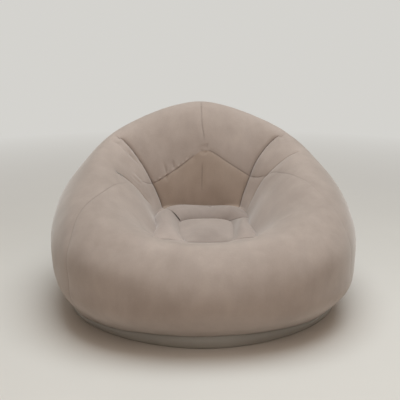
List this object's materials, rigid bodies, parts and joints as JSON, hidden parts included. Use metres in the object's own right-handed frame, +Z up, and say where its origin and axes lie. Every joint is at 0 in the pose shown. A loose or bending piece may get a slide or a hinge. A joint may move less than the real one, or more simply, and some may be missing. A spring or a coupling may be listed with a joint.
{
  "type": "inflatable air lounger",
  "caption": "Round inflatable lounger with a high creased back, arms that slope into a front roll, a low pillowed seat, a plain base band and a flush air valve.",
  "frame": {"origin": "centre of the underside, on the floor, in the middle of the width and of the depth", "axes": "+Z up, -Y to the front, +X to the right as seen from the front, which is the sitter's left"},
  "size_m": [1.0771, 1.0389, 0.6733],
  "materials": {
    "flocked_skin": "matte",
    "flocked_seat": "matte",
    "base_vinyl": "satin",
    "web_vinyl": "satin",
    "valve_plastic": "satin",
    "flap_silicone": "satin"
  },
  "bodies": {
    "root": {"front_panel": "flocked_skin", "hood_left": "flocked_skin", "hood_right": "flocked_skin", "lower_back_left": "flocked_skin", "lower_back_right": "flocked_skin", "seat_pad": "flocked_seat", "seat_rear": "flocked_seat", "seat_front": "flocked_seat", "seat_left": "flocked_seat", "seat_right": "flocked_seat", "base_sheet": "base_vinyl", "back_web_left": "web_vinyl", "back_web_right": "web_vinyl", "back_web_centre": "web_vinyl", "arm_web_left": "web_vinyl", "arm_web_right": "web_vinyl", "seat_tie_front": "web_vinyl", "seat_tie_rear": "web_vinyl", "seat_tie_left": "web_vinyl", "seat_tie_right": "web_vinyl", "valve_base": "valve_plastic"},
    "insert": {"valve_insert": "valve_plastic"},
    "flap": {"valve_flap": "flap_silicone"},
    "cap": {"valve_cap": "valve_plastic"}
  },
  "joints": [
    {"name": "insert_slide", "type": "slide", "parent": "root", "child": "insert", "axis": [0.1732, 0.9626, -0.2083], "range_m": [0, 0.024]},
    {"name": "flap_swing", "type": "hinge", "parent": "insert", "child": "flap", "pos_m": [0.18551, 0.49032, 0.19228], "axis": [-0.9842, 0.177, 0], "range_deg": [0, 50], "stiffness_Nm_per_rad": 0.002},
    {"name": "cap_swing", "type": "hinge", "parent": "insert", "child": "cap", "pos_m": [0.1885, 0.50697, 0.19685], "axis": [0.9842, -0.177, 0], "range_deg": [0, 150]}
  ]
}
